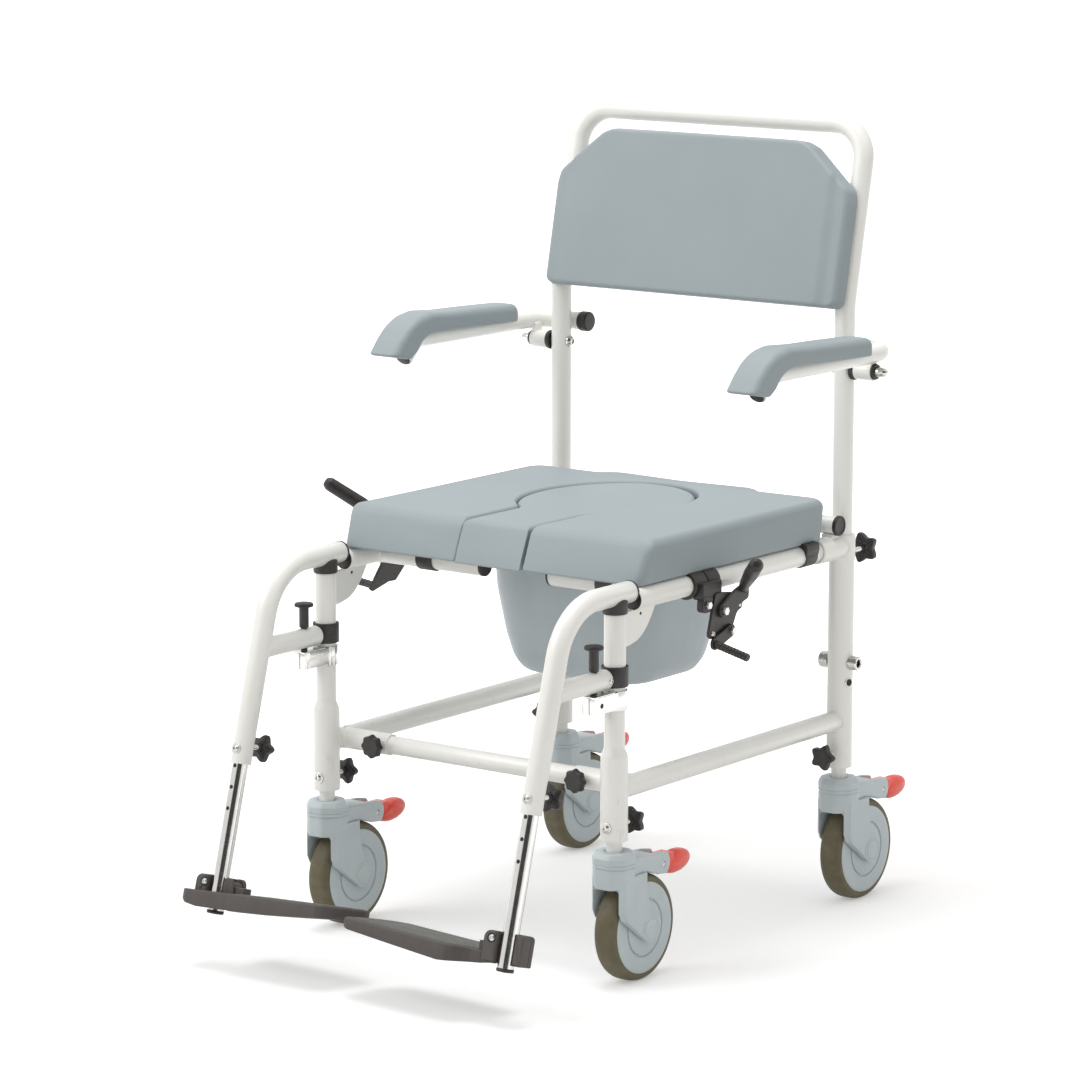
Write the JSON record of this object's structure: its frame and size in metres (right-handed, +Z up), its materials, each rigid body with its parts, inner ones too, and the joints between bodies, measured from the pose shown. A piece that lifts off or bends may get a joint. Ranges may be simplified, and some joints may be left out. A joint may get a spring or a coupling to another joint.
{
  "type": "wheeled commode chair",
  "caption": "Wheeled commode chair with a lift-off horseshoe seat and lid over a slide-out pan, flip-up arms, swing-away footrests and lockable casters.",
  "frame": {"origin": "on the floor, under the middle of the chair's outline", "axes": "+Z up, -Y towards the front (the footrests), +X towards the right side as seen from the front"},
  "size_m": [0.653, 0.839, 0.9593],
  "materials": {
    "paint": "smooth warm-white gloss coating",
    "chrome": "bright plated steel",
    "black": "black moulded plastic and black-coated steel",
    "cushion": "blue-grey foam with a smooth, finely grained skin",
    "pan_plastic": "satin light blue-grey moulding",
    "caster_plastic": "satin grey moulding",
    "tyre": "olive-brown tread on a grey disc",
    "pedal": "coral-red moulding",
    "footplate_plastic": "dark warm-grey moulding with a textured tread"
  },
  "bodies": {
    "frame": {"front_leg_right": "paint", "front_leg_left": "paint", "rear_leg_right": "paint", "rear_leg_left": "paint", "seat_rail_right": "paint", "seat_rail_left": "paint", "lower_rail_right": "paint", "lower_rail_left": "paint", "front_cross_bar": "paint", "rear_cross_tube": "paint", "pan_carrier": "paint", "latch_bracket_right": "chrome", "latch_bracket_left": "chrome", "brake_clamp_right": "black", "brake_clamp_left": "black"},
    "back": {"back_frame": "paint", "back_pad": "cushion"},
    "arm_right": {"arm_tube_right": "paint", "arm_pad_right": "cushion"},
    "arm_left": {"arm_tube_left": "paint", "arm_pad_left": "cushion"},
    "seat": {"seat_pad": "cushion"},
    "lid": {"seat_lid": "cushion"},
    "pan_tub": {"pan": "pan_plastic"},
    "insert_front_right": {"leg_insert_front_right": "paint"},
    "insert_front_left": {"leg_insert_front_left": "paint"},
    "insert_rear_right": {"leg_insert_rear_right": "paint"},
    "insert_rear_left": {"leg_insert_rear_left": "paint"},
    "fork_front_right": {"caster_fork_front_right": "caster_plastic"},
    "fork_front_left": {"caster_fork_front_left": "caster_plastic"},
    "fork_rear_right": {"caster_fork_rear_right": "caster_plastic"},
    "fork_rear_left": {"caster_fork_rear_left": "caster_plastic"},
    "wheel_front_right": {"caster_wheel_front_right": "tyre"},
    "wheel_front_left": {"caster_wheel_front_left": "tyre"},
    "wheel_rear_right": {"caster_wheel_rear_right": "tyre"},
    "wheel_rear_left": {"caster_wheel_rear_left": "tyre"},
    "pedal_front_right": {"caster_pedal_front_right": "pedal"},
    "pedal_front_left": {"caster_pedal_front_left": "pedal"},
    "pedal_rear_right": {"caster_pedal_rear_right": "pedal"},
    "pedal_rear_left": {"caster_pedal_rear_left": "pedal"},
    "hanger_right": {"footrest_hanger_right": "paint"},
    "hanger_left": {"footrest_hanger_left": "paint"},
    "footrest_right": {"footrest_tube_right": "chrome", "footplate_hub_right": "footplate_plastic"},
    "footrest_left": {"footrest_tube_left": "chrome", "footplate_hub_left": "footplate_plastic"},
    "tread_right": {"footplate_right": "footplate_plastic"},
    "tread_left": {"footplate_left": "footplate_plastic"},
    "plunger_right": {"latch_plunger_right": "black"},
    "plunger_left": {"latch_plunger_left": "black"},
    "lever_right": {"brake_lever_right": "black"},
    "lever_left": {"brake_lever_left": "black"},
    "brake_link_right": {"brake_arm_right": "black"},
    "brake_link_left": {"brake_arm_left": "black"},
    "bar_knob_right": {"cross_bar_knob_right": "black"},
    "bar_knob_left": {"cross_bar_knob_left": "black"},
    "upright_knob_right": {"back_knob_right": "black"},
    "upright_knob_left": {"back_knob_left": "black"},
    "footrest_knob_right": {"hanger_knob_right": "black"},
    "footrest_knob_left": {"hanger_knob_left": "black"}
  },
  "joints": [
    {"name": "leg_height_front_right", "type": "slide", "parent": "frame", "child": "insert_front_right", "axis": [0, 0, -1], "range_m": [0, 0.06]},
    {"name": "leg_height_front_left", "type": "slide", "parent": "frame", "child": "insert_front_left", "axis": [0, 0, -1], "range_m": [0, 0.06]},
    {"name": "leg_height_rear_right", "type": "slide", "parent": "frame", "child": "insert_rear_right", "axis": [0, 0, -1], "range_m": [0, 0.06]},
    {"name": "leg_height_rear_left", "type": "slide", "parent": "frame", "child": "insert_rear_left", "axis": [0, 0, -1], "range_m": [0, 0.06]},
    {"name": "caster_swivel_front_right", "type": "hinge", "parent": "insert_front_right", "child": "fork_front_right", "pos_m": [0.21, -0.184, 0.1353], "axis": [0, 0, 1], "continuous": true},
    {"name": "caster_swivel_front_left", "type": "hinge", "parent": "insert_front_left", "child": "fork_front_left", "pos_m": [-0.21, -0.184, 0.1353], "axis": [0, 0, 1], "continuous": true},
    {"name": "caster_swivel_rear_right", "type": "hinge", "parent": "insert_rear_right", "child": "fork_rear_right", "pos_m": [0.21, 0.284, 0.1353], "axis": [0, 0, 1], "continuous": true},
    {"name": "caster_swivel_rear_left", "type": "hinge", "parent": "insert_rear_left", "child": "fork_rear_left", "pos_m": [-0.21, 0.284, 0.1353], "axis": [0, 0, 1], "continuous": true},
    {"name": "wheel_spin_front_right", "type": "hinge", "parent": "fork_front_right", "child": "wheel_front_right", "pos_m": [0.21, -0.144, 0.0625], "axis": [1, 0, 0], "continuous": true},
    {"name": "wheel_spin_front_left", "type": "hinge", "parent": "fork_front_left", "child": "wheel_front_left", "pos_m": [-0.21, -0.144, 0.0625], "axis": [1, 0, 0], "continuous": true},
    {"name": "wheel_spin_rear_right", "type": "hinge", "parent": "fork_rear_right", "child": "wheel_rear_right", "pos_m": [0.21, 0.324, 0.0625], "axis": [1, 0, 0], "continuous": true},
    {"name": "wheel_spin_rear_left", "type": "hinge", "parent": "fork_rear_left", "child": "wheel_rear_left", "pos_m": [-0.21, 0.324, 0.0625], "axis": [1, 0, 0], "continuous": true},
    {"name": "pedal_press_front_right", "type": "hinge", "parent": "fork_front_right", "child": "pedal_front_right", "pos_m": [0.21, -0.1105, 0.1308], "axis": [1, 0, 0], "range_deg": [-12, 0]},
    {"name": "pedal_press_front_left", "type": "hinge", "parent": "fork_front_left", "child": "pedal_front_left", "pos_m": [-0.21, -0.1105, 0.1308], "axis": [1, 0, 0], "range_deg": [-12, 0]},
    {"name": "pedal_press_rear_right", "type": "hinge", "parent": "fork_rear_right", "child": "pedal_rear_right", "pos_m": [0.21, 0.3575, 0.1308], "axis": [1, 0, 0], "range_deg": [-12, 0]},
    {"name": "pedal_press_rear_left", "type": "hinge", "parent": "fork_rear_left", "child": "pedal_rear_left", "pos_m": [-0.21, 0.3575, 0.1308], "axis": [1, 0, 0], "range_deg": [-12, 0]},
    {"name": "back_lift", "type": "slide", "parent": "frame", "child": "back", "axis": [0, 0, 1], "range_m": [0, 0.115]},
    {"name": "arm_flip_right", "type": "hinge", "parent": "back", "child": "arm_right", "pos_m": [0.2405, 0.284, 0.6585], "axis": [-1, 0, 0], "range_deg": [0, 88]},
    {"name": "arm_flip_left", "type": "hinge", "parent": "back", "child": "arm_left", "pos_m": [-0.2405, 0.284, 0.6585], "axis": [-1, 0, 0], "range_deg": [0, 88]},
    {"name": "seat_lift", "type": "slide", "parent": "frame", "child": "seat", "axis": [0, 0, 1], "range_m": [0, 0.1]},
    {"name": "lid_lift", "type": "slide", "parent": "seat", "child": "lid", "axis": [0, 0, 1], "range_m": [0, 0.08]},
    {"name": "pan_slide", "type": "slide", "parent": "frame", "child": "pan_tub", "axis": [0, 1, 0], "range_m": [0, 0.22]},
    {"name": "footrest_swing_right", "type": "hinge", "parent": "frame", "child": "hanger_right", "pos_m": [0.21, -0.184, 0.4334], "axis": [0, 0, 1], "range_deg": [0, 90]},
    {"name": "footrest_swing_left", "type": "hinge", "parent": "frame", "child": "hanger_left", "pos_m": [-0.21, -0.184, 0.4334], "axis": [0, 0, -1], "range_deg": [0, 90]},
    {"name": "footrest_height_right", "type": "slide", "parent": "hanger_right", "child": "footrest_right", "axis": [0, -0.2723, -0.9622], "range_m": [-0.09, 0.03]},
    {"name": "footrest_height_left", "type": "slide", "parent": "hanger_left", "child": "footrest_left", "axis": [0, -0.2723, -0.9622], "range_m": [-0.09, 0.03]},
    {"name": "footplate_flip_right", "type": "hinge", "parent": "footrest_right", "child": "tread_right", "pos_m": [0.1912, -0.3807, 0.09425], "axis": [0, 0.9759, -0.2181], "range_deg": [0, 90]},
    {"name": "footplate_flip_left", "type": "hinge", "parent": "footrest_left", "child": "tread_left", "pos_m": [-0.1912, -0.3807, 0.09425], "axis": [0, -0.9632, 0.2689], "range_deg": [0, 90]},
    {"name": "plunger_pull_right", "type": "slide", "parent": "hanger_right", "child": "plunger_right", "axis": [0, 0, 1], "range_m": [-0.009, 0.004]},
    {"name": "plunger_pull_left", "type": "slide", "parent": "hanger_left", "child": "plunger_left", "axis": [0, 0, 1], "range_m": [-0.009, 0.004]},
    {"name": "brake_lever_turn_right", "type": "hinge", "parent": "frame", "child": "lever_right", "pos_m": [0.2369, -0.0085, 0.4122], "axis": [1, 0, 0], "range_deg": [0, 35]},
    {"name": "brake_lever_turn_left", "type": "hinge", "parent": "frame", "child": "lever_left", "pos_m": [-0.24615, -0.0175, 0.42332], "axis": [0.9397, 0, -0.342], "range_deg": [0, 35]},
    {"name": "brake_link_turn_right", "type": "hinge", "parent": "frame", "child": "brake_link_right", "pos_m": [0.2368, 0.0079, 0.3867], "axis": [1, 0, 0], "range_deg": [0, 53]},
    {"name": "brake_link_turn_left", "type": "hinge", "parent": "frame", "child": "brake_link_left", "pos_m": [-0.25478, -0.0011, 0.39932], "axis": [0.9397, 0, -0.342], "range_deg": [0, 53]},
    {"name": "bar_knob_turn_right", "type": "hinge", "parent": "frame", "child": "bar_knob_right", "pos_m": [0.1485, -0.1665, 0.2295], "axis": [0, -1, 0], "continuous": true},
    {"name": "bar_knob_turn_left", "type": "hinge", "parent": "frame", "child": "bar_knob_left", "pos_m": [-0.1485, -0.1665, 0.2295], "axis": [0, -1, 0], "continuous": true},
    {"name": "upright_knob_turn_right", "type": "hinge", "parent": "frame", "child": "upright_knob_right", "pos_m": [0.21, 0.3008, 0.434], "axis": [0, 1, 0], "continuous": true},
    {"name": "upright_knob_turn_left", "type": "hinge", "parent": "frame", "child": "upright_knob_left", "pos_m": [-0.21, 0.3008, 0.434], "axis": [0, 1, 0], "continuous": true},
    {"name": "footrest_knob_turn_right", "type": "hinge", "parent": "hanger_right", "child": "footrest_knob_right", "pos_m": [0.21, -0.32366, 0.24806], "axis": [0, 0.9622, -0.2723], "continuous": true},
    {"name": "footrest_knob_turn_left", "type": "hinge", "parent": "hanger_left", "child": "footrest_knob_left", "pos_m": [-0.21, -0.32366, 0.24806], "axis": [0, 0.9622, -0.2723], "continuous": true}
  ],
  "couplings": [
    {"joint": "brake_link_turn_right", "follows": "brake_lever_turn_right", "ratio": 1.5},
    {"joint": "brake_link_turn_left", "follows": "brake_lever_turn_left", "ratio": 1.5}
  ]
}
